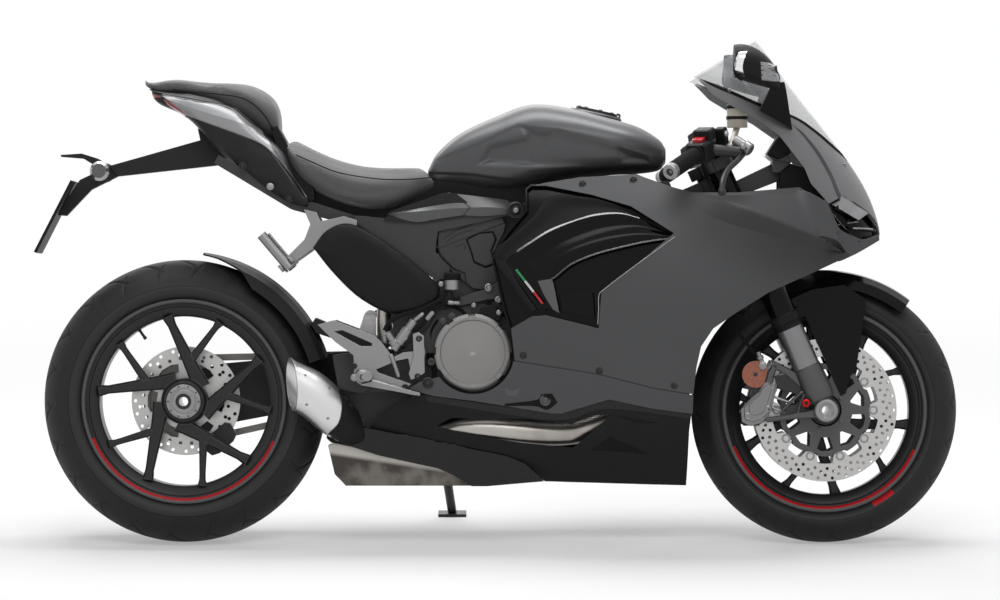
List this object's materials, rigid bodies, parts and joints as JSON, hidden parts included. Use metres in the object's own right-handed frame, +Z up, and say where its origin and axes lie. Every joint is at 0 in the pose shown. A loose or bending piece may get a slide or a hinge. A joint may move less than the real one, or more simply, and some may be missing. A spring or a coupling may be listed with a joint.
{
  "type": "sport motorcycle",
  "caption": "Full-fairing sport motorcycle parked on its side stand, with turning wheels, steering, folding stand and pegs, an opening fuel lid, and single-sided swingarm.",
  "frame": {"origin": "on the ground under the middle of the box round the whole parked bike", "axes": "+X forwards along the bike, +Y to its left (the side it leans to), +Z up; the bike stands on its side stand, leaning 10 degrees about X"},
  "size_m": [2.0683, 0.7573, 1.1477],
  "materials": {
    "amber_reflector": "gloss amber",
    "black_metal": "black coated",
    "black_plastic": "fine grained matt black",
    "bright_alloy": "satin cast alloy",
    "chain_steel": "oiled",
    "clear_screen": "clear",
    "dark_cast": "dark grey cast",
    "fluid_cup": "translucent beige",
    "gloss_black": "gloss black",
    "grip_rubber": "matt",
    "lamp_lens": "clear lens",
    "matte_graphite": "matt dark grey paint",
    "plate_grey": "blank",
    "radiator_black": "black finned",
    "red_lens": "gloss red",
    "seat_fabric": "grained technical seat cover",
    "silver_steel": "brushed",
    "tyre_rubber": "matt",
    "warm_steel": "heat tinted, satin"
  },
  "bodies": {
    "motorcycle": {"belly_panels": "black_plastic", "chain_drive": "chain_steel", "clutch_cover": "bright_alloy", "engine_block": "dark_cast", "engine_covers": "dark_cast", "exhaust_collector": "warm_steel", "exhaust_headers": "warm_steel", "footrests": "bright_alloy", "fuel_tank": "matte_graphite", "headlights": "lamp_lens", "lower_panels": "matte_graphite", "main_frame": "dark_cast", "mirrors": "black_plastic", "nose_cowl": "matte_graphite", "nose_stay": "black_metal", "number_plate": "plate_grey", "passenger_seat": "seat_fabric", "pillion_brackets": "bright_alloy", "plate_bracket": "black_plastic", "radiator": "radiator_black", "rear_caliper": "dark_cast", "rear_hugger": "black_plastic", "rear_indicators": "lamp_lens", "rider_seat": "seat_fabric", "seat_frame": "dark_cast", "shock": "silver_steel", "side_ducts": "gloss_black", "side_guards": "black_plastic", "side_panels": "matte_graphite", "silencer": "silver_steel", "stand_bracket": "black_metal", "swingarm": "dark_cast", "tail_cowl": "matte_graphite", "tail_light": "red_lens", "tail_undertray": "black_plastic", "windscreen": "clear_screen"},
    "steering": {"fork_tubes": "black_metal", "fork_sliders": "black_metal", "fork_clamps": "black_metal", "front_axle": "silver_steel", "clip_ons": "black_metal", "grips": "grip_rubber", "hand_levers": "black_metal", "brake_reservoir": "fluid_cup", "front_fender": "gloss_black", "front_calipers": "bright_alloy", "reflectors": "amber_reflector", "brake_hoses": "grip_rubber"},
    "front_wheel": {"front_rim": "black_metal", "front_tyre": "tyre_rubber", "front_discs": "silver_steel"},
    "rear_wheel": {"rear_rim": "black_metal", "rear_tyre": "tyre_rubber", "rear_axle": "silver_steel", "rear_disc": "silver_steel", "rear_sprocket": "chain_steel"},
    "side_stand": {"side_stand": "black_metal"},
    "pillion_peg_right": {"pillion_peg_right": "bright_alloy"},
    "pillion_peg_left": {"pillion_peg_left": "bright_alloy"},
    "fuel_lid": {"fuel_lid": "black_metal"}
  },
  "joints": [
    {"name": "steering_head", "type": "hinge", "parent": "motorcycle", "child": "steering", "pos_m": [0.4964, -0.0487, 0.74497], "axis": [-0.4067, 0.1586, 0.8997], "range_deg": [-26, 26]},
    {"name": "front_wheel_spin", "type": "hinge", "parent": "steering", "child": "front_wheel", "pos_m": [0.73622, -0.12814, 0.29442], "axis": [0, 0.9848, -0.1736], "continuous": true},
    {"name": "rear_wheel_spin", "type": "hinge", "parent": "motorcycle", "child": "rear_wheel", "pos_m": [-0.69919, -0.12475, 0.31363], "axis": [0, 0.9848, -0.1736], "continuous": true},
    {"name": "side_stand_fold", "type": "hinge", "parent": "motorcycle", "child": "side_stand", "pos_m": [-0.1312, -0.00825, 0.23724], "axis": [-0.0492, 0.8897, 0.4538], "range_deg": [0, 90]},
    {"name": "right_peg_fold", "type": "hinge", "parent": "motorcycle", "child": "pillion_peg_right", "pos_m": [-0.4682, -0.20144, 0.63889], "axis": [0.7634, 0.1122, 0.6361], "range_deg": [0, 90]},
    {"name": "left_peg_fold", "type": "hinge", "parent": "motorcycle", "child": "pillion_peg_left", "pos_m": [-0.4682, 0.05855, 0.59304], "axis": [-0.7634, -0.1122, -0.6361], "range_deg": [0, 90]},
    {"name": "fuel_lid_open", "type": "hinge", "parent": "motorcycle", "child": "fuel_lid", "pos_m": [0.27349, -0.01359, 0.94407], "axis": [0, 0.9848, -0.1736], "range_deg": [0, 85]}
  ]
}
